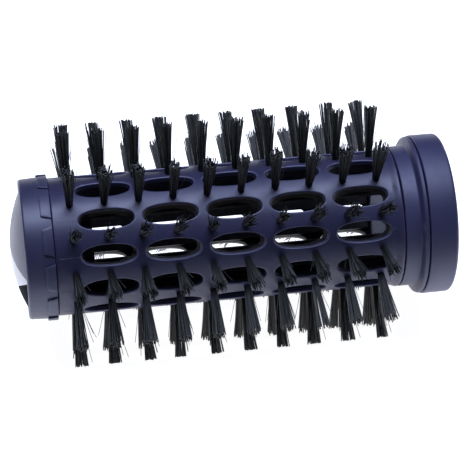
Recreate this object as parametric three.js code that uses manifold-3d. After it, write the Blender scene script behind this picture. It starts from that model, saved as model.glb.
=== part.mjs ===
// Round brush head for a hot-air styler: a slotted barrel with twelve bristle strips, a cool
// tip that turns freely at one end, and a handle collar that the barrel turns on at the other.
//
// Millimetres, +Z up. The brush lies along X with its cool tip at -X, and rests on the tips of
// its two lowest rows of bristles. The origin is on that surface, below the middle of the length.
import * as THREE from "three";
import { mergeVertices } from "three/addons/utils/BufferGeometryUtils.js";
import Module from "manifold-3d";

const wasm = await Module();
wasm.setup();

// ---- Driving dimensions. Places along the axis are measured from the cap ring's outer edge. ----
const GAP = 0.3; // between pieces that are fixed to each other or run past each other
const RUNNING_GAP = 0.1; // round each bearing, on the radius
const SIDES = 36; // facets round a turned piece
const ROWS = 12; // rows of slots, and rows of bristles between them
const ROW_ANGLE = (2 * Math.PI) / ROWS;

const BARREL_RADIUS = 15;
const BARREL_BORE = 11.7;
const BARREL_START = 6.45;
const BARREL_END = 81.25;
const BARREL_RIM_RADIUS = 15.6; // where the barrel flares out to meet the neck
const BARREL_FLARE_START = 79.6;
const SOCKET_BORE = 13.2; // the wider bore at each end, for the tip bearing and the drive hub
const TIP_SOCKET_END = 8.25;
const HUB_SOCKET_START = 78.6;

const SLOTS_PER_ROW = 5;
const SLOT_LENGTH = 11.9;
const SLOT_WIDTH = 4.75;
const SLOT_CORNERS = 10;
const FIRST_SLOT = 17.7;
const SLOT_PITCH = 13.68;

const TUFTS_PER_ROW = 10;
const FIRST_TUFT = 10.3;
const TUFT_PITCH = 7.34;
const TUFT_SIDES = 5;
const TUFT_ROOT_RADIUS = 0.75;
const TUFT_TIP_RADIUS = 1.45;
const BRISTLE_TIP_RADIUS = 26.3; // from the brush's axis to the cut ends of the bristles

// The rail behind the wall that holds one row of tufts.
const RAIL_WIDTH = 2.6;
const RAIL_INNER = 10.3;
const RAIL_OUTER = 11.3;
const RAIL_START = 9.45;
const RAIL_END = 78.3;

const CAP_LENGTH = 6.15;
const CAP_RADIUS = 15.5;
const CAP_EDGE_RADIUS = 15.2;
const CAP_EDGE_ROUND = 0.6;
const CAP_WALL_INNER = 13.3;
const CAP_WEB_START = 2.6;
const CAP_WEB_END = 3.8;
const JOURNAL_RADIUS = 9.8;
const JOURNAL_BORE = 8.6;
const JOURNAL_END = 14.8;

const PAD_START = 4;
const PAD_RADIUS = 15.95;
const PAD_HALF_ANGLE_START = THREE.MathUtils.degToRad(9.5);
const PAD_HALF_ANGLE_END = THREE.MathUtils.degToRad(12);

const DOME_RADIUS = 12.6;
const DOME_HEIGHT = 2.85;
const DOME_SKIRT_END = 1.2;
const DOME_WALL = 1.2;
const DOME_STEPS = 5;
const SCREW_BOSS_RADIUS = 3;
const SCREW_RADIUS = 1.3;
const SCREW_HEAD_RADIUS = 2.7;
const SCREW_TIP = -0.6;
const SCREW_HEAD_END = 5.6;
const SCREW_SIDES = 18;
const SCREW_SLOT_WIDTH = 0.8;
const SCREW_SLOT_DEPTH = 0.7;

const TIP_BEARING_START = 6.75;
const TIP_BEARING_END = 7.95;
const TIP_CLIP_START = 8.25;
const TIP_CLIP_END = 9.15;
const TIP_CLIP_RADIUS = 10.9;
const TIP_GROOVE_RADIUS = 9.2;

const HUB_FLANGE_START = 78.9;
const HUB_FLANGE_END = 81;
const HUB_RADIUS = 11.5;
const HUB_BORE = 9.9;
const HUB_END = 87.2;
const SPLINES = 6;
const SPLINE_HEIGHT = 1.3;
const SPLINE_WIDTH = 1.8;
const SPLINE_START = 82;
const CLIP_GROOVE_RADIUS = 10.8;
const CLIP_START = 84.8;
const CLIP_END = 85.9;
const CLIP_RADIUS = 13.1;
const CLIP_MOUTH = THREE.MathUtils.degToRad(40);

const NECK_RADIUS = 15.5;
const NECK_START = 81.55;
const NECK_FLARE_START = 84.8;
const NECK_END = 86.2;
const NECK_FLARE_RADIUS = 17.5;
const NECK_FLARE_STEPS = 4;
const NECK_WEB_START = 82.6;
const NECK_WEB_END = 84.5;
const NECK_POCKET = 13.5;
const SPIGOT_RADIUS = 14.2;
const SPIGOT_END = 89;

const COLLAR_START = 86.5;
const COLLAR_END = 92.6;
const COLLAR_RADIUS = 17.6;
const COLLAR_ROUND = 0.5;
const COLLAR_BORE = 15;
const LUGS = 3;
const LUG_START = 89.6;
const LUG_END = 91.2;
const LUG_WIDTH = 5;
const LUG_HEIGHT = 0.9;

const CUT_PAST = 1; // how far a cutting shape runs past what it cuts
const FLAT_ENOUGH = 0.01; // the most that a surface may move where its facets are merged

// ---- Solids ----

// The closed surface of a geometry as a solid, whichever way its faces were wound.
function solidOf(geometry) {
  const bare = geometry.clone();
  bare.deleteAttribute("normal");
  bare.deleteAttribute("uv");
  const merged = mergeVertices(bare, 1e-4);
  const vertProperties = new Float32Array(merged.attributes.position.array);
  const triVerts = new Uint32Array(merged.index.array);
  const made = new wasm.Manifold(new wasm.Mesh({ numProp: 3, vertProperties, triVerts }));
  if (made.volume() > 0) {
    return made;
  }
  const turned = triVerts.reverse();
  return new wasm.Manifold(new wasm.Mesh({ numProp: 3, vertProperties, triVerts: turned }));
}

// The surface of a solid, ready to be drawn.
function geometryOf(solid) {
  const { vertProperties, triVerts } = solid.simplify(FLAT_ENOUGH).getMesh();
  const geometry = new THREE.BufferGeometry();
  geometry.setAttribute("position", new THREE.BufferAttribute(vertProperties, 3));
  geometry.setIndex(new THREE.BufferAttribute(triVerts, 1));
  geometry.computeVertexNormals();
  return geometry;
}

function joined(solids) {
  return solids.reduce((whole, piece) => whole.add(piece));
}

// A profile of [along the axis, radius] points, turned round the X axis.
function turnedAboutX(profile, sides = SIDES) {
  const points = profile.map(([along, radius]) => new THREE.Vector2(radius, along));
  const geometry = new THREE.LatheGeometry([...points, points[0]], sides);
  return solidOf(geometry.rotateZ(-Math.PI / 2));
}

function ring(start, end, inner, outer) {
  return turnedAboutX([[start, inner], [end, inner], [end, outer], [start, outer]]);
}

function disc(start, end, radius, sides = SIDES) {
  return turnedAboutX([[start, 0], [end, 0], [end, radius], [start, radius]], sides);
}

// A block from one radius to another, standing on the axis at an angle round it from +Y.
function radialBlock(start, end, width, inner, outer, angle) {
  const geometry = new THREE.BoxGeometry(end - start, outer - inner, width);
  geometry.translate((start + end) / 2, (inner + outer) / 2, 0);
  return solidOf(geometry.rotateX(angle));
}

// A flat outline of [along the axis, across] points, raised from one radius to another.
function radialPrism(outline, inner, outer, angle) {
  const shape = new THREE.Shape(outline.map(([along, across]) => new THREE.Vector2(along, across)));
  const geometry = new THREE.ExtrudeGeometry(shape, { depth: outer - inner, bevelEnabled: false });
  geometry.translate(0, 0, inner);
  return solidOf(geometry.rotateX(angle - Math.PI / 2));
}

function slotAngle(row) {
  return row * ROW_ANGLE;
}

function bristleAngle(row) {
  return (row + 0.5) * ROW_ANGLE;
}

function tuftPlace(index) {
  return FIRST_TUFT + index * TUFT_PITCH;
}

// A tuft or the hole it passes through: a few-sided spindle that stands on the axis at an angle.
function radialSpindle(along, profile, angle) {
  const points = profile.map(([radius, height]) => new THREE.Vector2(radius, height));
  const geometry = new THREE.LatheGeometry([...points, points[0]], TUFT_SIDES);
  geometry.translate(along, 0, 0);
  return solidOf(geometry.rotateX(angle));
}

// ---- The brush: barrel, bristle strips, drive hub and the pieces fixed to them ----

// An air slot's oval outline.
function slotOutline(centre) {
  return Array.from({ length: SLOT_CORNERS }, (_, corner) => {
    const turn = ((corner + 0.5) / SLOT_CORNERS) * 2 * Math.PI;
    return [centre + (SLOT_LENGTH / 2) * Math.cos(turn), (SLOT_WIDTH / 2) * Math.sin(turn)];
  });
}

// The slotted tube, with a hole over each tuft.
function barrel() {
  const inner = BARREL_BORE - CUT_PAST;
  const outer = BARREL_RADIUS + CUT_PAST;
  const holeRadius = TUFT_ROOT_RADIUS + GAP;
  const cuts = [];
  for (let row = 0; row < ROWS; row += 1) {
    for (let slot = 0; slot < SLOTS_PER_ROW; slot += 1) {
      const outline = slotOutline(FIRST_SLOT + slot * SLOT_PITCH);
      cuts.push(radialPrism(outline, inner, outer, slotAngle(row)));
    }
    for (let tuft = 0; tuft < TUFTS_PER_ROW; tuft += 1) {
      const hole = [[0, inner], [holeRadius, inner], [holeRadius, outer], [0, outer]];
      cuts.push(radialSpindle(tuftPlace(tuft), hole, bristleAngle(row)));
    }
  }
  const tube = turnedAboutX([
    [BARREL_START, SOCKET_BORE],
    [TIP_SOCKET_END, SOCKET_BORE],
    [TIP_SOCKET_END, BARREL_BORE],
    [HUB_SOCKET_START, BARREL_BORE],
    [HUB_SOCKET_START, SOCKET_BORE],
    [BARREL_END, SOCKET_BORE],
    [BARREL_END, BARREL_RIM_RADIUS],
    [BARREL_FLARE_START, BARREL_RADIUS],
    [BARREL_START, BARREL_RADIUS],
  ]);
  return tube.subtract(joined(cuts));
}

// One row of tufts on the rail that holds them behind the barrel's wall.
function bristleStrip(row) {
  const angle = bristleAngle(row);
  const profile = [
    [0, RAIL_INNER + GAP],
    [TUFT_ROOT_RADIUS, RAIL_INNER + GAP],
    [TUFT_ROOT_RADIUS, BARREL_RADIUS],
    [TUFT_TIP_RADIUS, BRISTLE_TIP_RADIUS],
    [0, BRISTLE_TIP_RADIUS],
  ];
  const pieces = [radialBlock(RAIL_START, RAIL_END, RAIL_WIDTH, RAIL_INNER, RAIL_OUTER, angle)];
  for (let tuft = 0; tuft < TUFTS_PER_ROW; tuft += 1) {
    pieces.push(radialSpindle(tuftPlace(tuft), profile, angle));
  }
  return joined(pieces);
}

// The drive hub: a flange in the barrel's end, and a splined sleeve that reaches into the collar.
function driveHub() {
  const sleeve = turnedAboutX([
    [HUB_FLANGE_START, HUB_BORE],
    [HUB_END, HUB_BORE],
    [HUB_END, HUB_RADIUS],
    [CLIP_END + RUNNING_GAP, HUB_RADIUS],
    [CLIP_END + RUNNING_GAP, CLIP_GROOVE_RADIUS],
    [CLIP_START - RUNNING_GAP, CLIP_GROOVE_RADIUS],
    [CLIP_START - RUNNING_GAP, HUB_RADIUS],
    [HUB_FLANGE_END, HUB_RADIUS],
    [HUB_FLANGE_END, SOCKET_BORE - GAP],
    [HUB_FLANGE_START, SOCKET_BORE - GAP],
  ]);
  const splines = Array.from({ length: SPLINES }, (_, index) => {
    const angle = (index * 2 * Math.PI) / SPLINES;
    const inner = HUB_BORE - SPLINE_HEIGHT;
    return radialBlock(SPLINE_START, HUB_END, SPLINE_WIDTH, inner, HUB_BORE + GAP, angle);
  });
  return joined([sleeve, ...splines]);
}

// The bush in the barrel's end that the cool tip's journal turns in.
function tipBearing() {
  return ring(TIP_BEARING_START, TIP_BEARING_END, JOURNAL_RADIUS + RUNNING_GAP, SOCKET_BORE - GAP);
}

// A spring clip: a ring with a gap, sprung into a groove.
function springClip(start, end, inner, outer) {
  const width = 2 * outer * Math.sin(CLIP_MOUTH / 2);
  const mouth = [start - CUT_PAST, end + CUT_PAST, width, inner - CUT_PAST, outer + CUT_PAST];
  const notch = radialBlock(...mouth, Math.PI / 2);
  return ring(start, end, inner, outer).subtract(notch);
}

// ---- The cool tip ----

// A raised pad on the cap ring, wider towards the barrel.
function gripPad(row) {
  const acrossStart = PAD_RADIUS * Math.sin(PAD_HALF_ANGLE_START);
  const acrossEnd = PAD_RADIUS * Math.sin(PAD_HALF_ANGLE_END);
  const outline = [
    [PAD_START, -acrossStart],
    [CAP_LENGTH, -acrossEnd],
    [CAP_LENGTH, acrossEnd],
    [PAD_START, acrossStart],
  ];
  return radialPrism(outline, CAP_WALL_INNER + GAP, PAD_RADIUS + CUT_PAST, bristleAngle(row));
}

// The cap ring with its grip pads, the web behind the dome and the journal inside the barrel.
function capRing() {
  const body = turnedAboutX([
    [0, DOME_RADIUS + GAP],
    [0, CAP_EDGE_RADIUS - CAP_EDGE_ROUND],
    [CAP_EDGE_ROUND * 0.3, CAP_EDGE_RADIUS - CAP_EDGE_ROUND * 0.3],
    [CAP_EDGE_ROUND, CAP_EDGE_RADIUS],
    [CAP_LENGTH, CAP_RADIUS],
    [CAP_LENGTH, CAP_WALL_INNER],
    [CAP_WEB_END, CAP_WALL_INNER],
    [CAP_WEB_END, JOURNAL_RADIUS],
    [TIP_CLIP_START - RUNNING_GAP, JOURNAL_RADIUS],
    [TIP_CLIP_START - RUNNING_GAP, TIP_GROOVE_RADIUS],
    [TIP_CLIP_END + RUNNING_GAP, TIP_GROOVE_RADIUS],
    [TIP_CLIP_END + RUNNING_GAP, JOURNAL_RADIUS],
    [JOURNAL_END, JOURNAL_RADIUS],
    [JOURNAL_END, JOURNAL_BORE],
    [CAP_WEB_END, JOURNAL_BORE],
    [CAP_WEB_END, SCREW_RADIUS + GAP],
    [CAP_WEB_START, SCREW_RADIUS + GAP],
    [CAP_WEB_START, DOME_RADIUS + GAP],
  ]);
  const pads = joined(Array.from({ length: ROWS }, (_, row) => gripPad(row)));
  const band = ring(PAD_START, CAP_LENGTH, CAP_WALL_INNER + GAP, PAD_RADIUS);
  return body.add(pads.intersect(band));
}

// The dome's surface at a share of its radius, as a shallow sphere.
function domePoint(share, inset) {
  const sphere = (DOME_RADIUS ** 2 + DOME_HEIGHT ** 2) / (2 * DOME_HEIGHT);
  const radius = share * (DOME_RADIUS - inset);
  const along = sphere - DOME_HEIGHT - Math.sqrt((sphere - inset) ** 2 - radius ** 2);
  return [along, radius];
}

// The shallow dome that closes the tip, with the boss that its screw goes into.
function tipDome() {
  const outside = Array.from({ length: DOME_STEPS }, (_, step) => domePoint(step / (DOME_STEPS - 1), 0));
  const underside = domePoint(1, DOME_WALL);
  const overBoss = domePoint(SCREW_BOSS_RADIUS / DOME_RADIUS, DOME_WALL);
  return turnedAboutX([
    ...outside,
    [DOME_SKIRT_END, DOME_RADIUS],
    [DOME_SKIRT_END, DOME_RADIUS - DOME_WALL],
    underside,
    [overBoss[0], SCREW_BOSS_RADIUS],
    [CAP_WEB_START - GAP, SCREW_BOSS_RADIUS],
    [CAP_WEB_START - GAP, SCREW_RADIUS + GAP],
    [SCREW_TIP - GAP, SCREW_RADIUS + GAP],
    [SCREW_TIP - GAP, 0],
  ]);
}

// The slotted screw that holds the dome to the cap's web.
function tipScrew() {
  const shank = disc(SCREW_TIP, CAP_WEB_END + 2 * GAP, SCREW_RADIUS, SCREW_SIDES);
  const head = disc(CAP_WEB_END + GAP, SCREW_HEAD_END, SCREW_HEAD_RADIUS, SCREW_SIDES);
  const slotEnd = SCREW_HEAD_RADIUS + CUT_PAST;
  const slotFloor = SCREW_HEAD_END - SCREW_SLOT_DEPTH;
  const slotTop = SCREW_HEAD_END + CUT_PAST;
  const driveSlot = radialBlock(slotFloor, slotTop, SCREW_SLOT_WIDTH, -slotEnd, slotEnd, 0);
  return shank.add(head).subtract(driveSlot);
}

// ---- The handle collar ----

// The neck: a flare outside, the web that the hub turns in, and the spigot that enters the collar.
function neckRing() {
  const flare = Array.from({ length: NECK_FLARE_STEPS + 1 }, (_, step) => {
    const share = step / NECK_FLARE_STEPS;
    const along = NECK_FLARE_START + (NECK_END - NECK_FLARE_START) * share;
    const rise = Math.sin((share * Math.PI) / 2) ** 2;
    return [along, NECK_RADIUS + (NECK_FLARE_RADIUS - NECK_RADIUS) * rise];
  });
  return turnedAboutX([
    [NECK_START, NECK_RADIUS],
    ...flare,
    [NECK_END, SPIGOT_RADIUS],
    [SPIGOT_END, SPIGOT_RADIUS],
    [SPIGOT_END, NECK_POCKET],
    [NECK_WEB_END, NECK_POCKET],
    [NECK_WEB_END, HUB_RADIUS + RUNNING_GAP],
    [NECK_WEB_START, HUB_RADIUS + RUNNING_GAP],
    [NECK_WEB_START, NECK_POCKET],
    [NECK_START, NECK_POCKET],
  ]);
}

// The washer between the barrel's end and the neck.
function thrustRing() {
  return ring(NECK_START + RUNNING_GAP, NECK_WEB_START - GAP, HUB_RADIUS + RUNNING_GAP, NECK_POCKET - GAP);
}

// The collar ring, with the lugs that hold the handle in its socket.
function collarRing() {
  const body = turnedAboutX([
    [COLLAR_START, SPIGOT_RADIUS + GAP],
    [COLLAR_START, COLLAR_RADIUS - COLLAR_ROUND],
    [COLLAR_START + COLLAR_ROUND * 0.3, COLLAR_RADIUS - COLLAR_ROUND * 0.3],
    [COLLAR_START + COLLAR_ROUND, COLLAR_RADIUS],
    [COLLAR_END - COLLAR_ROUND, COLLAR_RADIUS],
    [COLLAR_END - COLLAR_ROUND * 0.3, COLLAR_RADIUS - COLLAR_ROUND * 0.3],
    [COLLAR_END, COLLAR_RADIUS - COLLAR_ROUND],
    [COLLAR_END, COLLAR_BORE],
    [SPIGOT_END + GAP, COLLAR_BORE],
    [SPIGOT_END + GAP, SPIGOT_RADIUS + GAP],
  ]);
  const lugs = Array.from({ length: LUGS }, (_, index) => {
    const angle = (index * 2 * Math.PI) / LUGS + Math.PI / 2;
    const inner = COLLAR_BORE - LUG_HEIGHT;
    return radialBlock(LUG_START, LUG_END, LUG_WIDTH, inner, COLLAR_BORE + LUG_HEIGHT, angle);
  });
  return joined([body, ...lugs]);
}

// ---- Materials ----

function plastic(color, roughness) {
  return new THREE.MeshStandardMaterial({ color, roughness, metalness: 0 });
}

const INDIGO = 0x3a3b5c;
const BRISTLE_BLACK = 0x17171b;
const LILAC_GREY = 0x8c8c9c;
const LIGHT_GREY = 0xb9bac2;
const NATURAL_ACETAL = 0xd8d8d2;

function steel() {
  return new THREE.MeshStandardMaterial({ color: 0x9a9ca0, roughness: 0.35, metalness: 1 });
}

// ---- The assembly ----

const brush = new THREE.Group();

function place(name, solid, material) {
  const mesh = new THREE.Mesh(geometryOf(solid), material);
  mesh.name = name;
  brush.add(mesh);
}

place("barrel", barrel(), plastic(INDIGO, 0.45));
for (let row = 0; row < ROWS; row += 1) {
  const number = String(row + 1).padStart(2, "0");
  place(`bristle_strip_${number}`, bristleStrip(row), plastic(BRISTLE_BLACK, 0.5));
}
place("drive_hub", driveHub(), plastic(LIGHT_GREY, 0.5));
place("tip_bearing", tipBearing(), plastic(NATURAL_ACETAL, 0.4));
place("hub_clip", springClip(CLIP_START, CLIP_END, CLIP_GROOVE_RADIUS + RUNNING_GAP, CLIP_RADIUS), steel());

place("cap_ring", capRing(), plastic(INDIGO, 0.45));
place("tip_dome", tipDome(), plastic(LILAC_GREY, 0.35));
place("tip_screw", tipScrew(), steel());
const tipClipBore = TIP_GROOVE_RADIUS + RUNNING_GAP;
place("tip_clip", springClip(TIP_CLIP_START, TIP_CLIP_END, tipClipBore, TIP_CLIP_RADIUS), steel());

place("neck_ring", neckRing(), plastic(INDIGO, 0.45));
place("thrust_ring", thrustRing(), plastic(NATURAL_ACETAL, 0.4));
place("collar_ring", collarRing(), plastic(INDIGO, 0.4));

// The brush stands on its lowest bristle tips, over the middle of its length.
const extent = new THREE.Box3().setFromObject(brush, true);
const middle = extent.getCenter(new THREE.Vector3());
brush.position.set(-middle.x, -middle.y, -extent.min.z);

const hairRoller = new THREE.Group();
hairRoller.name = "hair_roller";
hairRoller.add(brush);

export default hairRoller;
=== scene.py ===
"""A round brush head for a hot-air styler: its looks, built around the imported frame."""

import math
import random

import bmesh
import bpy
from mathutils import Matrix, Vector


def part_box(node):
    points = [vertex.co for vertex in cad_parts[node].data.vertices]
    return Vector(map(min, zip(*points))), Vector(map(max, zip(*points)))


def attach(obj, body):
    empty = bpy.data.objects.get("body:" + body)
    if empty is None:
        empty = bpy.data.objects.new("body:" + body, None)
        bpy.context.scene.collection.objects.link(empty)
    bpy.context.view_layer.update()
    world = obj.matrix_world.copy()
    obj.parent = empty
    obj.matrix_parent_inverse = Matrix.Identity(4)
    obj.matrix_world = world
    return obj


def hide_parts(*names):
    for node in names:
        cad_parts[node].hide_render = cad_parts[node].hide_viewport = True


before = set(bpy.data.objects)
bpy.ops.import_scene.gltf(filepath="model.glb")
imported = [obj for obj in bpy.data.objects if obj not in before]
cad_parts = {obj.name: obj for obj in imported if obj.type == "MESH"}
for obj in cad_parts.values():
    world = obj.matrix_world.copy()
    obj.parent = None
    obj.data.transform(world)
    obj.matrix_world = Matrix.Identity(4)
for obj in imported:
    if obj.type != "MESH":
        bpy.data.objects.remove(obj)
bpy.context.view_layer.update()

MM = 0.001

# ---- Driving sizes, in millimetres; places along the brush are from the cap ring's outer edge ----

barrel_low, barrel_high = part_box("barrel")
cap_low, cap_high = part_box("cap_ring")
collar_low, collar_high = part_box("collar_ring")
neck_low, neck_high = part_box("neck_ring")
hub_low, hub_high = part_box("drive_hub")
dome_low, dome_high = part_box("tip_dome")

EDGE = cap_low.x
AXIS = (barrel_low.z + barrel_high.z) / 2


def place_along(x):
    return (x - EDGE) / MM


BARREL_RADIUS = 15.0
BARREL_RIM_RADIUS = (barrel_high.z - barrel_low.z) / 2 / MM
BARREL_BORE = 11.7
SOCKET_BORE = 13.2  # the wider bore at each end of the barrel
BARREL_START = place_along(barrel_low.x) - 0.1
BARREL_END = place_along(barrel_high.x)

ROWS = 12
ROW_ANGLE = 2 * math.pi / ROWS

SLOTS = 5
SLOT_LENGTH = 11.9
SLOT_WIDTH = 4.5
SLOT_PITCH = 13.68
FIRST_SLOT = 17.7
SLOT_FULLNESS = 2.35  # 2 is an ellipse; more is fuller at the corners
SLOT_LIP = 0.28
# Deeper than this, the slot walls and the bore take the near-black inside material: painted shade.
OUTER_SHELL = 1.1  # how deep the outer colour reaches into a slot
LIP_CURVE = [(0.0, 1.0), (0.08, 0.62), (0.3, 0.29), (0.62, 0.08), (1.0, 0.0)]  # out and down, in lips
SLOT_DRAFT = 0.034  # the share of its width that a slot loses for each millimetre of depth
TIP_SOCKET_END = 8.25
HUB_SOCKET_START = 78.6
RIM_INSET = 0.1  # how far the moulded rim stays inside the frame's

RAIL_SIZE = (9.45, 78.3, 10.3, 11.3, 2.6)  # its two ends, two radii and width

TUFTS = 10
TUFT_PITCH = 7.34
FIRST_TUFT = 10.3
TUFT_ROOT_RADIUS = 0.70
BRISTLE_RADIUS = 0.115
BRISTLES = 46
STRAYS = 3  # finer bristles of a tuft that stand out from it
STRAY_RADIUS = 0.06
TUFT_START = 11.2  # from the brush's axis to the root ends of the bristles
TIP_RADIUS = 26.5  # from the brush's axis to the cut ends

AROUND = 144  # steps round a turned piece
SHARP_ANGLE = math.radians(32)  # edges sharper than this are shaded as edges
WELD = 0.0004 * MM  # points nearer than this become one


# ---- Building meshes ----


def at(along, radius, angle):
    """A place by its distance along the brush, its radius and its angle from +Y towards +Z."""
    y = radius * MM * math.cos(angle)
    z = AXIS + radius * MM * math.sin(angle)
    return Vector((EDGE + along * MM, y, z))


class Shape:
    """The points and faces of one piece while it is being made."""

    def __init__(self):
        self.points = []
        self.faces = []
        self.slots = []
        self.tones = []

    def grid(self, rows, slot=0, tone=0.5, wrap_rows=False, wrap_columns=False, caps=False):
        """Joins rows of points with four-sided faces; caps closes the first and the last row."""
        start = len(self.points)
        across = len(rows[0])
        for index, row in enumerate(rows):
            self.points.extend(row)
            self.tones.extend([tone[index] if isinstance(tone, list) else tone] * across)
        last_row = len(rows) if wrap_rows else len(rows) - 1
        last_column = across if wrap_columns else across - 1
        for i in range(last_row):
            for j in range(last_column):
                a = start + i * across + j
                b = start + i * across + (j + 1) % across
                below = start + ((i + 1) % len(rows)) * across
                self.faces.append((a, b, below + (j + 1) % across, below + j))
                self.slots.append(slot)
        if caps:
            final = start + (len(rows) - 1) * across
            self.faces.append(tuple(range(start, start + across)))
            self.faces.append(tuple(range(final, final + across)))
            self.slots.extend([slot, slot])

    def turned(self, profile, steps=AROUND, closed=True):
        """Turns a profile of (along, radius) round the brush's axis."""
        rows = []
        for along, radius in profile:
            angles = (2 * math.pi * k / steps for k in range(steps))
            rows.append([at(along, radius, angle) for angle in angles])
        self.grid(rows, wrap_rows=closed, wrap_columns=True)

    def block(self, along, radii, width, angle, bevel):
        """A bevelled block that stands on the axis at an angle."""
        turn = Matrix.Rotation(angle, 3, "X")
        middle = Vector(((along[0] + along[1]) / 2, (radii[0] + radii[1]) / 2, 0))
        half = Vector(((along[1] - along[0]) / 2, (radii[1] - radii[0]) / 2, width / 2))
        rows = []
        for level, inset in ((-1, bevel), (-1, 0), (1, 0), (1, bevel)):
            height = level * (half.y - (0 if inset else bevel))
            row = []
            for x, z in ((-1, -1), (1, -1), (1, 1), (-1, 1)):
                corner = Vector((x * (half.x - inset), height, z * (half.z - inset)))
                point = turn @ (middle + corner) * MM
                row.append(point + Vector((EDGE, 0, AXIS)))
            rows.append(row)
        self.grid(rows, wrap_columns=True, caps=True)


def filleted(corners, steps=5):
    """Rounds a closed outline of (along, radius, fillet) corners."""
    outline = []
    for index, (along, radius, fillet) in enumerate(corners):
        corner = Vector((along, radius))
        if not fillet:
            outline.append(corner)
            continue
        back = (Vector(corners[index - 1][:2]) - corner).normalized()
        on = (Vector(corners[(index + 1) % len(corners)][:2]) - corner).normalized()
        half = back.angle(on) / 2
        centre = corner + (back + on).normalized() * fillet / math.sin(half)
        first = corner + back * fillet / math.tan(half) - centre
        last = corner + on * fillet / math.tan(half) - centre
        for step in range(steps + 1):
            spoke = first.lerp(last, step / steps).normalized()
            outline.append(centre + spoke * fillet)
    return [(point.x, point.y) for point in outline]


def make_piece(name, shape, materials, body, nodes):
    """Makes the mesh, gives it its materials and lets it ride in place of its CAD nodes."""
    mesh = bpy.data.meshes.new(name)
    mesh.from_pydata(shape.points, [], shape.faces)
    mesh.polygons.foreach_set("material_index", shape.slots)
    tones = mesh.attributes.new("tone", "FLOAT", "POINT")
    tones.data.foreach_set("value", shape.tones)
    work = bmesh.new()
    work.from_mesh(mesh)
    bmesh.ops.remove_doubles(work, verts=work.verts, dist=WELD)
    bmesh.ops.dissolve_degenerate(work, edges=work.edges, dist=WELD / 2)
    bmesh.ops.recalc_face_normals(work, faces=work.faces)
    work.to_mesh(mesh)
    work.free()
    mesh.polygons.foreach_set("use_smooth", [True] * len(mesh.polygons))
    mesh.set_sharp_from_angle(angle=SHARP_ANGLE)
    for material in materials:
        mesh.materials.append(material)
    piece = bpy.data.objects.new(name, mesh)
    bpy.context.collection.objects.link(piece)
    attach(piece, body)
    if nodes:
        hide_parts(*nodes)
    return piece


# ---- Node groups that the materials share ----


class Nodes:
    """A short way to add and join nodes."""

    def __init__(self, tree):
        self.tree = tree

    def add(self, kind, inputs=(), **settings):
        node = self.tree.nodes.new(kind)
        for key, value in settings.items():
            setattr(node, key, value)
        for key, value in dict(inputs).items():
            socket = node.inputs[key]
            if isinstance(value, bpy.types.NodeSocket):
                self.tree.links.new(value, socket)
            else:
                socket.default_value = value
        return node

    def spread(self, value, low, high, to_low=0.0, to_high=1.0):
        numbers = {"Value": value, "From Min": low, "From Max": high, "To Min": to_low, "To Max": to_high}
        return self.add("ShaderNodeMapRange", numbers).outputs[0]

    def maths(self, operation, first, second):
        node = self.add("ShaderNodeMath", {0: first, 1: second}, operation=operation)
        return node.outputs[0]

    def vector_maths(self, operation, *vectors):
        return self.add("ShaderNodeVectorMath", dict(enumerate(vectors)), operation=operation)

    def mixed(self, share, first, second):
        node = self.add("ShaderNodeMix", {0: share}, data_type="RGBA")
        for index, value in ((6, first), (7, second)):
            if isinstance(value, bpy.types.NodeSocket):
                self.tree.links.new(value, node.inputs[index])
            else:
                node.inputs[index].default_value = value
        return node.outputs[2]

    def noise(self, where, scale, detail, roughness):
        sizes = {"Vector": where, "Scale": scale, "Detail": detail, "Roughness": roughness}
        return self.add("ShaderNodeTexNoise", sizes).outputs["Fac"]


def new_group(name, inputs, outputs):
    tree = bpy.data.node_groups.new(name, "ShaderNodeTree")
    for label, kind, value in inputs:
        socket = tree.interface.new_socket(name=label, in_out="INPUT", socket_type=kind)
        socket.default_value = value
    for label, kind in outputs:
        tree.interface.new_socket(name=label, in_out="OUTPUT", socket_type=kind)
    nodes = Nodes(tree)
    entry = nodes.add("NodeGroupInput")
    end = nodes.add("NodeGroupOutput")
    return tree, nodes, entry.outputs, end.inputs


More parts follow.
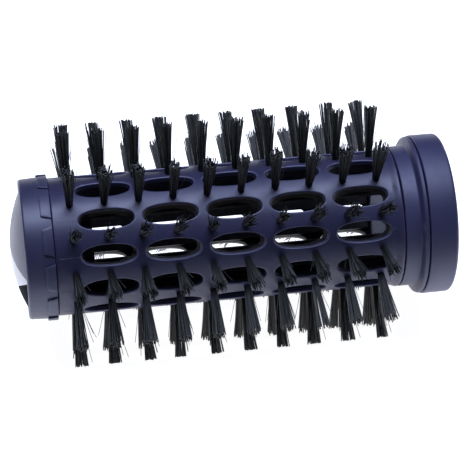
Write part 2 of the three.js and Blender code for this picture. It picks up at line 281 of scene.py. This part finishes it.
def moulded_surface_group():
    """Colour, roughness and height of moulded plastic: tone drift, edge wear, a painted highlight along
    slot lips, specks, fine grain.
    """
    colour, number = "NodeSocketColor", "NodeSocketFloat"
    tree, nodes, given, result = new_group(
        "moulded_surface",
        [
            ("Colour", colour, (0.04, 0.04, 0.09, 1)),
            ("Rubbed and highlight", colour, (0.2, 0.2, 0.3, 1)),
            ("Roughness", number, 0.4),
            ("Wear", number, 0.5),
        ],
        [("Colour", colour), ("Roughness", number), ("Height", number)],
    )
    where = nodes.add("ShaderNodeTexCoord").outputs["Object"]
    drift = nodes.noise(where, 55.0, 4.0, 0.6)
    tone = nodes.spread(drift, 0.3, 0.7, 0.86, 1.14)
    toned = nodes.add("ShaderNodeHueSaturation", {"Value": tone, "Color": given["Colour"]})
    edges = nodes.add("ShaderNodeNewGeometry").outputs["Pointiness"]
    patches = nodes.spread(nodes.noise(where, 420.0, 3.0, 0.7), 0.35, 0.75)
    rubbed_and_highlight = nodes.maths("MULTIPLY", nodes.spread(edges, 0.515, 0.58), patches)
    rubbed_and_highlight = nodes.maths("MULTIPLY", rubbed_and_highlight, given["Wear"])
    # Points with tone 1.0 on a slot's lip curve are lightened: a painted highlight along the lips.
    lips = nodes.add("ShaderNodeAttribute", attribute_name="tone").outputs["Fac"]
    rubbed_and_highlight = nodes.maths("ADD", rubbed_and_highlight, nodes.spread(lips, 0.55, 1.0, 0.0, 0.4))
    worn_and_highlit = nodes.mixed(rubbed_and_highlight, toned.outputs[0], given["Rubbed and highlight"])
    specks = nodes.spread(nodes.noise(where, 2600.0, 2.0, 0.6), 0.74, 0.80, 0.0, 0.22)
    dusty = nodes.mixed(specks, worn_and_highlit, (0.45, 0.46, 0.52, 1))
    nodes.tree.links.new(dusty, result["Colour"])
    smears = nodes.noise(where, 130.0, 5.0, 0.65)
    rough = nodes.maths("ADD", given["Roughness"], nodes.spread(smears, 0.3, 0.7, -0.05, 0.07))
    nodes.tree.links.new(rough, result["Roughness"])
    grain = nodes.noise(where, 5200.0, 2.0, 0.5)
    swell = nodes.noise(where, 240.0, 2.0, 0.4)
    height = nodes.maths("ADD", grain, nodes.maths("MULTIPLY", swell, 1.6))
    nodes.tree.links.new(height, result["Height"])
    return tree


def filament_surface_group():
    """Colour, roughness and height of nylon filament: each one its own tone, and darker by its root, a
    painted shade.
    """
    colour, number = "NodeSocketColor", "NodeSocketFloat"
    tree, nodes, given, result = new_group(
        "filament_surface",
        [("Dark", colour, (0.006, 0.006, 0.006, 1)), ("Light", colour, (0.11, 0.112, 0.104, 1))],
        [("Colour", colour), ("Roughness", number), ("Height", number)],
    )
    where = nodes.add("ShaderNodeTexCoord").outputs["Object"]
    tone = nodes.add("ShaderNodeAttribute", attribute_name="tone").outputs["Fac"]
    flecks = nodes.spread(nodes.noise(where, 1400.0, 3.0, 0.6), 0.4, 0.75, 0.0, 0.35)
    share = nodes.maths("ADD", nodes.maths("MULTIPLY", tone, 0.6), flecks)
    from_axis = nodes.vector_maths("ADD", where, (0, 0, -AXIS)).outputs[0]
    spoke = nodes.vector_maths("MULTIPLY", from_axis, (0, 1, 1)).outputs[0]
    reach = nodes.vector_maths("LENGTH", spoke).outputs["Value"]
    # Painted shade: each filament darkens towards the barrel, where the tufts shade their own roots.
    root_shade_end, shade_fade_end = BARREL_RADIUS * MM, 24 * MM
    share = nodes.maths("MULTIPLY", share, nodes.spread(reach, root_shade_end, shade_fade_end, 0.05, 1.0))
    nodes.tree.links.new(nodes.mixed(share, given["Dark"], given["Light"]), result["Colour"])
    nodes.tree.links.new(nodes.spread(share, 0.0, 1.0, 0.32, 0.55), result["Roughness"])
    nodes.tree.links.new(nodes.noise(where, 6000.0, 2.0, 0.5), result["Height"])
    return tree


moulded_surface = moulded_surface_group()
filament_surface = filament_surface_group()


# ---- Materials ----


GRAIN_DEPTH = 0.02 * MM


def surfaced_material(name, group, values, bump, **constants):
    """A Principled material whose colour, roughness and grain come from a shared group."""
    material = bpy.data.materials.new(name)
    material.use_nodes = True
    nodes = Nodes(material.node_tree)
    shader = material.node_tree.nodes["Principled BSDF"]
    surface = nodes.add("ShaderNodeGroup", node_tree=group)
    for key, value in values.items():
        surface.inputs[key].default_value = value
    links = material.node_tree.links
    links.new(surface.outputs["Colour"], shader.inputs["Base Color"])
    links.new(surface.outputs["Roughness"], shader.inputs["Roughness"])
    raised = nodes.add("ShaderNodeBump", {"Strength": bump, "Distance": GRAIN_DEPTH})
    links.new(surface.outputs["Height"], raised.inputs["Height"])
    links.new(raised.outputs["Normal"], shader.inputs["Normal"])
    for key, value in constants.items():
        shader.inputs[key.replace("_", " ")].default_value = value
    return material


def moulded_plastic(name, colour, rubbed_and_highlight, roughness, wear=0.5, **constants):
    values = {"Colour": (*colour, 1), "Rubbed and highlight": (*rubbed_and_highlight, 1), "Roughness": roughness, "Wear": wear}
    return surfaced_material(name, moulded_surface, values, 0.25, **constants)


def paint_reflection_below(material, pale, above_axis, softness):
    """Paints the part of a piece under a level, given from the brush's axis, pale: a painted reflection.
    """
    nodes = Nodes(material.node_tree)
    shader = material.node_tree.nodes["Principled BSDF"]
    colour = shader.inputs["Base Color"].links[0].from_socket
    where = nodes.add("ShaderNodeTexCoord").outputs["Object"]
    depth = nodes.vector_maths("DOT_PRODUCT", where, (0, 0, -1)).outputs["Value"]
    middle = -AXIS - above_axis
    lower = nodes.spread(depth, middle - softness, middle + softness)
    material.node_tree.links.new(nodes.mixed(lower, colour, pale), shader.inputs["Base Color"])


# The lighter colour for edge wear, and for the painted highlight on the barrel's slot lips.
RUBBED_AND_HIGHLIGHT_INDIGO = (0.17, 0.17, 0.30)
RUBBED_COLLAR = (0.17, 0.18, 0.32)
blue_sheen = {"Specular_IOR_Level": 0.67, "Specular_Tint": (0.85, 0.86, 1.0, 1)}
indigo_barrel = moulded_plastic("indigo_barrel", (0.027, 0.026, 0.066), RUBBED_AND_HIGHLIGHT_INDIGO, 0.40, **blue_sheen)
# The barrel's inside, a near-black copy of its plastic: painted shade in the bore and deep slot walls.
inside_painted_shade = moulded_plastic(
    "inside_painted_shade", (0.009, 0.009, 0.017), (0.04, 0.04, 0.06), 0.6, wear=0.2, Specular_IOR_Level=0.15
)
indigo_cap = moulded_plastic("indigo_cap", (0.033, 0.033, 0.075), RUBBED_AND_HIGHLIGHT_INDIGO, 0.42, **blue_sheen)
# Lighter than the barrel's indigo, standing in for the broader highlight at the collar end: a painted
# highlight.
indigo_collar = moulded_plastic("indigo_collar", (0.038, 0.038, 0.092), RUBBED_COLLAR, 0.47, **blue_sheen)
rail_plastic = moulded_plastic("rail_plastic", (0.010, 0.010, 0.018), (0.08, 0.08, 0.10), 0.35)
hub_plastic = moulded_plastic("hub_plastic", (0.61, 0.63, 0.71), (0.6, 0.6, 0.62), 0.45)
acetal = moulded_plastic("acetal", (0.62, 0.62, 0.58), (0.75, 0.75, 0.72), 0.35, wear=0.3)
dome_plastic = moulded_plastic(
    "dome_plastic", (0.13, 0.13, 0.175), (0.4, 0.4, 0.5), 0.34, wear=0.2, Specular_IOR_Level=0.2
)
# The dome's lower front is painted pale: a painted reflection.
paint_reflection_below(dome_plastic, (0.80, 0.80, 0.82, 1), 1.9 * MM, 0.25 * MM)
# Near-black for the dome's lower side beyond a plane: painted shade.
dome_painted_shade = moulded_plastic(
    "dome_painted_shade", (0.008, 0.008, 0.010), (0.03, 0.03, 0.03), 0.8, wear=0.2, Specular_IOR_Level=0.05
)
spring_steel = moulded_plastic("spring_steel", (0.42, 0.42, 0.43), (0.7, 0.7, 0.7), 0.3, Metallic=1.0)
nylon = surfaced_material("nylon", filament_surface, {}, 0.15, Specular_IOR_Level=0.4)


# ---- The barrel ----


def slot_edge(turn):
    """A point of a slot's outline, from its centre: along the brush and across it."""
    power = 2 / SLOT_FULLNESS
    along = math.copysign(abs(math.cos(turn)) ** power, math.cos(turn)) * SLOT_LENGTH / 2
    across = math.copysign(abs(math.sin(turn)) ** power, math.sin(turn)) * SLOT_WIDTH / 2
    return Vector((along, across))


END_STEPS = 12  # steps along the short sides of the cell round a slot
SIDE_STEPS = 20  # steps along its long sides
CORNER_TURN = math.radians(50)


def cell_spokes():
    """Pairs of points from a slot's edge to the border of the cell round it."""
    half = Vector((SLOT_PITCH / 2, BARREL_RADIUS * ROW_ANGLE / 2))
    spokes = []
    for quarter in range(4):
        steps = END_STEPS if quarter % 2 == 0 else SIDE_STEPS
        first = -CORNER_TURN if quarter % 2 == 0 else CORNER_TURN
        reach = 2 * CORNER_TURN if quarter % 2 == 0 else math.pi - 2 * CORNER_TURN
        flip = -1 if quarter >= 2 else 1
        for step in range(steps):
            share = step / steps
            inner = slot_edge(first + reach * share) * flip
            if quarter % 2 == 0:
                outer = Vector((half.x, half.y * (2 * share - 1))) * flip
            else:
                outer = Vector((half.x * (1 - 2 * share), half.y)) * flip
            spokes.append((inner, outer))
    return spokes


def add_slot_cell(shape, centre, angle, spokes):
    """One slot with rounded lips, its walls, and the barrel's two surfaces round it."""
    rows = []
    tones = []

    def ring(radius, offset=None, share=None, tone=0.5):
        """Adds one loop of points round the slot, by its distance or its share of the way out."""
        row = []
        taper = 1 - SLOT_DRAFT * (BARREL_RADIUS - radius)
        for inner, outer in spokes:
            wall = inner * taper
            way = outer - wall
            reach = share if offset is None else offset / way.length
            turn, border = math.asin(wall.y / radius), outer.y / BARREL_RADIUS
            row.append(at(centre + wall.x + way.x * reach, radius, angle + turn + (border - turn) * reach))
        rows.append(row)
        tones.append(tone)

    for share in (1.0, 0.6):
        ring(BARREL_RADIUS, share=share)
    ring(BARREL_RADIUS, offset=SLOT_LIP * 1.6)
    # Points on the lip's curve get tone 1.0, which the moulded surface paints lighter: a painted
    # highlight.
    for out, drop in reversed(LIP_CURVE):
        ring(BARREL_RADIUS - drop * SLOT_LIP, offset=out * SLOT_LIP, tone=1.0 if 0 < drop < 1 else 0.5)
    ring(BARREL_RADIUS - OUTER_SHELL, offset=0)
    shape.grid(rows, slot=0, tone=tones, wrap_columns=True)
    rows, tones = rows[-1:], tones[-1:]
    for out, drop in LIP_CURVE:
        ring(BARREL_BORE + drop * SLOT_LIP / 2, offset=out * SLOT_LIP / 2)
    for share in (0.6, 1.0):
        ring(BARREL_BORE, share=share)
    # The inner lip, the deeper wall and the bore take the inside material: painted shade.
    shape.grid(rows, slot=1, tone=tones, wrap_columns=True)


def add_barrel_end(shape, border, end, rim, socket):
    """The plain band between the slots and one end of the barrel, with its flare, rim and socket."""
    inward = 1 if end < border else -1
    foot, crest = border - inward * 0.08, end + inward * 0.3
    rise = rim - BARREL_RADIUS
    steps = 8
    profile = [(border, BARREL_RADIUS)]
    for step in range(steps + 1):
        share = step / steps
        eased = (share + share * share * (3 - 2 * share)) / 2
        profile.append((foot + (crest - foot) * share, BARREL_RADIUS + rise * eased))
    profile += [
        (end + inward * 0.18, rim - 0.01),
        (end + inward * 0.05, rim - 0.07),
        (end, rim - 0.16),
        (end, SOCKET_BORE),
        (socket, SOCKET_BORE),
        (socket, BARREL_BORE),
        (border, BARREL_BORE),
    ]
    shape.turned(profile, steps=ROWS * END_STEPS, closed=False)


def make_barrel():
    shape = Shape()
    spokes = cell_spokes()
    for row in range(ROWS):
        for slot in range(SLOTS):
            add_slot_cell(shape, FIRST_SLOT + slot * SLOT_PITCH, row * ROW_ANGLE, spokes)
    first_border = FIRST_SLOT - SLOT_PITCH / 2
    last_border = first_border + SLOTS * SLOT_PITCH
    add_barrel_end(shape, first_border, BARREL_START, BARREL_RADIUS, TIP_SOCKET_END)
    add_barrel_end(shape, last_border, BARREL_END, BARREL_RIM_RADIUS - RIM_INSET, HUB_SOCKET_START)
    return make_piece("barrel_shell", shape, [indigo_barrel, inside_painted_shade], "brush", ["barrel"])


def make_mould_lines():
    """Fine parting lines that the mould left between the slots and the barrel's ends."""
    shape = Shape()
    last_slot = FIRST_SLOT + (SLOTS - 1) * SLOT_PITCH
    clear = 6.2  # from a slot's middle to the line's end
    spans = ((BARREL_START + 0.8, FIRST_SLOT - clear), (last_slot + clear, BARREL_END - 1.9))
    radii = (BARREL_RADIUS - 0.1, BARREL_RADIUS + 0.035)
    for row in range(ROWS):
        for span in spans:
            shape.block(span, radii, 0.12, row * ROW_ANGLE, bevel=0.03)
    return make_piece("mould_lines", shape, [indigo_barrel], "brush", [])


# ---- The bristles ----

FILAMENT_SIDES = 5
PATH_STEPS = 4
GOLDEN_TURN = math.pi * (3 - math.sqrt(5))
SHORT_SHARE = 0.1  # how many bristles are cut short


def bristle_path(random_numbers, root, splay, lean, length):
    """How far a bristle stands from its tuft's axis at each step of its height."""
    bend = Vector((random_numbers.gauss(0, 0.17), random_numbers.gauss(0, 0.17)))
    inside = BARREL_RADIUS - TUFT_START
    path = [(root, 0.0)]
    for step in range(PATH_STEPS + 1):
        share = step / PATH_STEPS
        spread = 1 + (splay - 1) * share**1.15
        side = root * spread + lean * share**1.5 + bend * share**2
        path.append((side, inside + share * (length - inside)))
    return path


def add_bristle(shape, base, axes, path, radius, tone):
    """A thin filament with a flat cut end."""
    out, along, across = axes
    rows = []
    for side, height in path:
        centre = base + (out * height + along * side.x + across * side.y) * MM
        row = []
        for corner in range(FILAMENT_SIDES):
            turn = corner * 2 * math.pi / FILAMENT_SIDES
            row.append(centre + (along * math.cos(turn) + across * math.sin(turn)) * radius * MM)
        rows.append(row)
    shape.grid(rows, slot=1, tone=tone, wrap_columns=True, caps=True)


def add_tuft(shape, random_numbers, along, angle):
    """A bunch of filaments that leaves its hole tightly packed and opens towards its cut ends."""
    out = Vector((0, math.cos(angle), math.sin(angle)))
    axes = (out, Vector((1, 0, 0)), out.cross(Vector((1, 0, 0))))
    base = at(along, TUFT_START, angle)
    splay = random_numbers.uniform(1.75, 2.4)
    lean = Vector((random_numbers.gauss(0, 0.22), random_numbers.gauss(0, 0.22)))
    for index in range(BRISTLES):
        reach = TUFT_ROOT_RADIUS * math.sqrt((index + 0.5) / BRISTLES)
        turn = index * GOLDEN_TURN + random_numbers.uniform(-0.3, 0.3)
        root = Vector((math.cos(turn), math.sin(turn))) * reach
        length = TIP_RADIUS - TUFT_START - abs(random_numbers.gauss(0, 0.22))
        if random_numbers.random() < SHORT_SHARE:
            length -= random_numbers.uniform(0.4, 2.6)
        own_splay = splay * random_numbers.uniform(0.85, 1.2)
        path = bristle_path(random_numbers, root, own_splay, lean, length)
        add_bristle(shape, base, axes, path, BRISTLE_RADIUS, random_numbers.random())
    for _ in range(STRAYS):
        turn = random_numbers.uniform(0, 2 * math.pi)
        root = Vector((math.cos(turn), math.sin(turn))) * TUFT_ROOT_RADIUS
        splay, length = random_numbers.uniform(2.4, 4.0), random_numbers.uniform(11.5, 15.0)
        path = bristle_path(random_numbers, root, splay, lean, length)
        add_bristle(shape, base, axes, path, STRAY_RADIUS, 0.9)


def make_bristle_strip(row):
    random_numbers = random.Random(1000 + row)
    shape = Shape()
    angle = (row + 0.5) * ROW_ANGLE
    shape.block(RAIL_SIZE[:2], RAIL_SIZE[2:4], RAIL_SIZE[4], angle, bevel=0.2)
    for tuft in range(TUFTS):
        add_tuft(shape, random_numbers, FIRST_TUFT + tuft * TUFT_PITCH, angle)
    node = f"bristle_strip_{row + 1:02d}"
    return make_piece(f"bristles_{row + 1:02d}", shape, [rail_plastic, nylon], "brush", [node])


# ---- The cool tip ----

CAP_LENGTH = 6.23
CAP_RADIUS = 15.5
CAP_EDGE_RADIUS = 15.2
CAP_WEB = (2.6, 3.8)  # the wall behind the dome
CAP_INSIDE = 13.3
SCREW_HOLE = 1.6
DOME_SEAT = 0.3  # the gap round the dome
JOURNAL_RADIUS = 9.8
JOURNAL_BORE = 8.6
JOURNAL_END = 14.8
CLIP_GROOVE = (8.15, 9.25, 9.2)  # its two ends and its radius
PAD_START = 4.0
PAD_RADIUS = (cap_high.z - cap_low.z) / 2 / MM
PAD_HALF_ANGLES = (math.radians(9.5), math.radians(12.0))
DOME_RADIUS = (dome_high.z - dome_low.z) / 2 / MM
DOME_HEIGHT = -place_along(dome_low.x)
DOME_BACK = 1.2
SHADE_DIRECTION = Vector((0, -0.681, -0.732))  # the dome is painted black beyond a plane across this: painted shade
SHADE_DISTANCE = 7.84


def add_grip_pad(shape, angle):
    """A raised pad with rounded edges, wider towards the barrel."""
    base, shoulder = CAP_RADIUS - 0.5, PAD_RADIUS - 0.16
    levels = [base, shoulder, PAD_RADIUS - 0.04, PAD_RADIUS]
    ends = [0.0, 0.0, 0.03, 0.09]
    shares = [(level, end) for level, end in zip(levels, ends)]
    along_steps = shares + [(PAD_RADIUS, 0.5)] + [(level, 1 - end) for level, end in reversed(shares)]
    across_ends = [(level, -1 + end / 2) for level, end in zip(levels, ends)]
    across_steps = across_ends + [(PAD_RADIUS, share / 5 - 0.8) for share in range(9)]
    across_steps += [(level, -share) for level, share in reversed(across_ends)]
    rows = []
    for row_level, share in along_steps:
        along = PAD_START + (CAP_LENGTH - PAD_START) * share
        half = PAD_HALF_ANGLES[0] + (PAD_HALF_ANGLES[1] - PAD_HALF_ANGLES[0]) * share
        row = [at(along, min(row_level, level), angle + half * side) for level, side in across_steps]
        rows.append(row)
    shape.grid(rows)


def make_cap_ring():
    web_start, web_end = CAP_WEB
    groove_start, groove_end, groove_radius = CLIP_GROOVE
    shape = Shape()
    shape.turned(
        filleted(
            [
                (0, DOME_RADIUS + DOME_SEAT, 0.12),
                (0, CAP_EDGE_RADIUS, 0.6),
                (CAP_LENGTH, CAP_RADIUS, 0.12),
                (CAP_LENGTH, CAP_INSIDE, 0),
                (web_end, CAP_INSIDE, 0),
                (web_end, JOURNAL_RADIUS, 0),
                (groove_start, JOURNAL_RADIUS, 0),
                (groove_start, groove_radius, 0),
                (groove_end, groove_radius, 0),
                (groove_end, JOURNAL_RADIUS, 0),
                (JOURNAL_END, JOURNAL_RADIUS, 0.15),
                (JOURNAL_END, JOURNAL_BORE, 0.15),
                (web_end, JOURNAL_BORE, 0),
                (web_end, SCREW_HOLE, 0),
                (web_start, SCREW_HOLE, 0),
                (web_start, DOME_RADIUS + DOME_SEAT, 0),
            ]
        )
    )
    for row in range(ROWS):
        add_grip_pad(shape, (row + 0.5) * ROW_ANGLE)
    return make_piece("cap_shell", shape, [indigo_cap], "cool_tip", ["cap_ring"])


def make_dome():
    sphere = (DOME_RADIUS**2 + DOME_HEIGHT**2) / (2 * DOME_HEIGHT)
    outside = []
    rounding = 0.3
    steps = 28
    for step in range(steps + 1):
        radius = (DOME_RADIUS - rounding) * step / steps
        outside.append((sphere - DOME_HEIGHT - math.sqrt(sphere**2 - radius**2), radius))
    edge = outside[-1][0]
    rim = [(edge + 0.13, DOME_RADIUS - 0.08), (edge + 0.35, DOME_RADIUS), (DOME_BACK, DOME_RADIUS)]
    inside = [(DOME_BACK, DOME_RADIUS - 1.2), (0.6, DOME_RADIUS - 1.6), (-1.0, 5.0), (-1.2, 0.0)]
    shape = Shape()
    shape.turned(outside + rim + inside, closed=False)
    piece = make_piece("dome_shell", shape, [dome_plastic, dome_painted_shade], "cool_tip", ["tip_dome"])
    # Faces beyond the plane take the near-black material: painted shade.
    origin = Vector((0, 0, AXIS)) + SHADE_DIRECTION * SHADE_DISTANCE * MM
    work = bmesh.new()
    work.from_mesh(piece.data)
    whole = work.verts[:] + work.edges[:] + work.faces[:]
    bmesh.ops.bisect_plane(work, geom=whole, dist=WELD / 2, plane_co=origin, plane_no=SHADE_DIRECTION)
    for face in work.faces:
        face.material_index = int((face.calc_center_median() - origin).dot(SHADE_DIRECTION) > 0)
    work.to_mesh(piece.data)
    work.free()
    return piece


# ---- The handle collar and the drive hub ----

NECK_RADIUS = 15.5
NECK_BORE = 13.5
NECK_SPIGOT_BORE = 14.2
NECK_WEB = (82.6, 84.5)
NECK_WEB_BORE = 11.6
NECK_FACE = 86.2
NECK_END = 89.0
COLLAR_BORE = 14.5
COLLAR_MOUTH = 15.0
COLLAR_SHOULDER = 89.3
LUGS = 3
HUB_RADIUS = 11.5
HUB_BORE = 9.9
HUB_SHOULDER = 81.0
HUB_GROOVE = (84.7, 86.0, 10.8)  # its two ends and its radius
SPLINES = 6
SPLINE_START = 82.0


def make_neck():
    low = place_along(neck_low.x)
    shape = Shape()
    shape.turned(
        filleted(
            [
                (low, NECK_RADIUS, 0.2),
                (84.9, NECK_RADIUS, 0.5),
                (85.35, 17.2, 0.6),
                (NECK_FACE, 17.5, 0.18),
                (NECK_FACE, NECK_SPIGOT_BORE, 0),
                (NECK_END, NECK_SPIGOT_BORE, 0),
                (NECK_END, NECK_BORE, 0),
                (NECK_WEB[1], NECK_BORE, 0),
                (NECK_WEB[1], NECK_WEB_BORE, 0.1),
                (NECK_WEB[0], NECK_WEB_BORE, 0.1),
                (NECK_WEB[0], NECK_BORE, 0),
                (low, NECK_BORE, 0),
            ]
        )
    )
    return make_piece("neck_shell", shape, [indigo_collar], "handle_collar", ["neck_ring"])


def make_collar():
    low, high = place_along(collar_low.x), place_along(collar_high.x)
    outer = (collar_high.z - collar_low.z) / 2 / MM
    shape = Shape()
    shape.turned(
        filleted(
            [
                (low, COLLAR_BORE, 0),
                (low, outer, 0.3),
                (high, outer, 0.75),
                (high, COLLAR_MOUTH, 0.3),
                (COLLAR_SHOULDER, COLLAR_MOUTH, 0),
                (COLLAR_SHOULDER, COLLAR_BORE, 0),
            ]
        )
    )
    for lug in range(LUGS):
        angle = math.pi / 2 + lug * 2 * math.pi / LUGS
        shape.block((89.6, 91.2), (14.1, 15.6), 5.0, angle, bevel=0.25)
    return make_piece("collar_shell", shape, [indigo_collar], "handle_collar", ["collar_ring"])


def make_hub():
    start, end = place_along(hub_low.x), place_along(hub_high.x)
    flange = (hub_high.z - hub_low.z) / 2 / MM
    groove_start, groove_end, groove_radius = HUB_GROOVE
    shape = Shape()
    shape.turned(
        filleted(
            [
                (start, HUB_BORE, 0.3),
                (end, HUB_BORE, 0.3),
                (end, HUB_RADIUS, 0.3),
                (groove_end, HUB_RADIUS, 0),
                (groove_end, groove_radius, 0),
                (groove_start, groove_radius, 0),
                (groove_start, HUB_RADIUS, 0),
                (HUB_SHOULDER, HUB_RADIUS, 0),
                (HUB_SHOULDER, flange, 0.1),
                (start, flange, 0.1),
            ]
        )
    )
    for spline in range(SPLINES):
        angle = spline * 2 * math.pi / SPLINES
        shape.block((SPLINE_START, end), (8.6, 10.2), 1.8, angle, bevel=0.2)
    return make_piece("hub_body", shape, [hub_plastic], "brush", ["drive_hub"])


make_barrel()
make_mould_lines()
for row in range(ROWS):
    make_bristle_strip(row)
make_cap_ring()
make_dome()
make_neck()
make_collar()
make_hub()

carried_over = {
    "tip_bearing": acetal,
    "thrust_ring": acetal,
    "hub_clip": spring_steel,
    "tip_clip": spring_steel,
    "tip_screw": spring_steel,
}
for node, material in carried_over.items():
    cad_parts[node].material_slots[0].material = material


# ---- Floor, lights and camera ----


FLOOR_HALF = 2.0
GLOW_EDGE = (-0.085, -0.048)  # in front of this the floor doesn't glow, or the barrel would mirror it
AIM = Vector((0.0008, -0.0049, 0.0287))
DISTANCE = 0.4244


def make_floor():
    """A pale, evenly lit table that goes on past the view."""
    half = FLOOR_HALF
    corners = [(-half, -half, 0), (half, -half, 0), (half, half, 0), (-half, half, 0)]
    mesh = bpy.data.meshes.new("table_top")
    mesh.from_pydata([Vector(corner) for corner in corners], [], [(0, 1, 2, 3)])
    material = bpy.data.materials.new("table_white")
    material.use_nodes = True
    shader = material.node_tree.nodes["Principled BSDF"]
    shader.inputs["Roughness"].default_value = 0.9
    shader.inputs["Emission Strength"].default_value = 0.95
    nodes = Nodes(material.node_tree)
    where = nodes.add("ShaderNodeTexCoord").outputs["Object"]
    depth = nodes.add("ShaderNodeSeparateXYZ", {0: where}).outputs["Y"]
    share = nodes.spread(depth, *GLOW_EDGE)
    glow = nodes.mixed(share, (0.04, 0.04, 0.045, 1), (1, 1, 1, 1))
    material.node_tree.links.new(glow, shader.inputs["Emission Color"])
    paint = nodes.mixed(share, (0.35, 0.35, 0.36, 1), (0.85, 0.85, 0.86, 1))
    material.node_tree.links.new(paint, shader.inputs["Base Color"])
    mesh.materials.append(material)
    table = bpy.data.objects.new("table_top", mesh)
    bpy.context.collection.objects.link(table)


def make_soft_light(name, place, size, power, colour):
    data = bpy.data.lights.new(name, "AREA")
    data.shape = "RECTANGLE"
    data.size, data.size_y = size
    data.energy = power
    data.color = colour
    light = bpy.data.objects.new(name, data)
    bpy.context.collection.objects.link(light)
    light.location = place
    light.rotation_euler = (Vector((0, 0, AXIS)) - light.location).to_track_quat("-Z", "Y").to_euler()


def make_camera():
    """A long lens, looking down from the front, a little from the cool tip's side."""
    azimuth, elevation, roll = (math.radians(degrees) for degrees in (-9.31, 40.42, 0.887))
    level = Vector((math.sin(azimuth), -math.cos(azimuth), 0))
    back = level * math.cos(elevation) + Vector((0, 0, math.sin(elevation)))
    data = bpy.data.cameras.new("camera")
    data.lens = 149.9
    data.sensor_width = 36
    camera = bpy.data.objects.new("camera", data)
    bpy.context.collection.objects.link(camera)
    camera.location = AIM + back * DISTANCE
    upright = (-back).to_track_quat("-Z", "Y")
    camera.rotation_euler = (upright @ Matrix.Rotation(roll, 4, "Z").to_quaternion()).to_euler()
    bpy.context.scene.camera = camera


def make_world():
    world = bpy.data.worlds.new("studio")
    bpy.context.scene.world = world
    world.use_nodes = True
    shade = world.node_tree.nodes["Background"]
    shade.inputs["Color"].default_value = (0.9, 0.92, 1.0, 1)
    shade.inputs["Strength"].default_value = 0.035


make_floor()
make_world()
make_soft_light("overhead", Vector((0.0, 0.05, 0.75)), (0.7, 0.35), 6.9, (0.655, 0.745, 1.0))
make_camera()
bpy.context.scene.view_settings.view_transform = "Standard"
